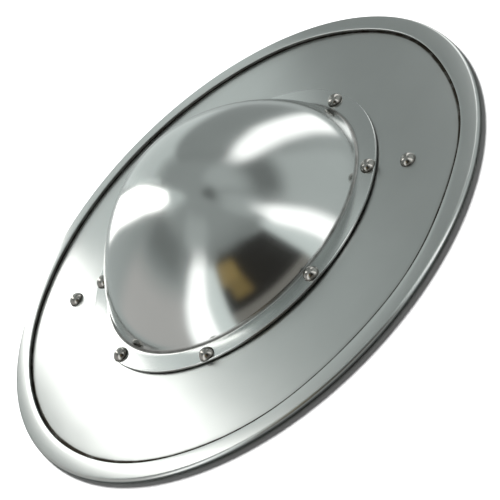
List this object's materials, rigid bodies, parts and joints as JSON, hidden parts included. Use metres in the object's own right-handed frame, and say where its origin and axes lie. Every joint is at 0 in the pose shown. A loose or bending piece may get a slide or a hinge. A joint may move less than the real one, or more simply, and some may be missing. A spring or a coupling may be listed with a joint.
{
  "type": "buckler shield",
  "caption": "Small round steel hand shield with a raised domed boss over the fist, a folded rim and a riveted grip behind.",
  "frame": {"origin": "centre of the plane that the back of the rim rests on", "axes": "+Z along the shield's axis, from the hand side to the striking side; +X along the grip"},
  "size_m": [0.305, 0.305, 0.0692],
  "materials": {
    "plate_steel": "satin, finely ground round the axis",
    "boss_steel": "polished, soft",
    "grip_steel": "satin",
    "rivet_steel": "polished"
  },
  "bodies": {
    "root": {"plate": "plate_steel", "boss": "boss_steel", "grip": "grip_steel", "boss_rivet_1": "rivet_steel", "boss_rivet_2": "rivet_steel", "boss_rivet_3": "rivet_steel", "boss_rivet_4": "rivet_steel", "boss_rivet_5": "rivet_steel", "boss_rivet_6": "rivet_steel", "boss_rivet_7": "rivet_steel", "boss_rivet_8": "rivet_steel", "grip_rivet_1": "rivet_steel", "grip_rivet_2": "rivet_steel"}
  },
  "joints": []
}
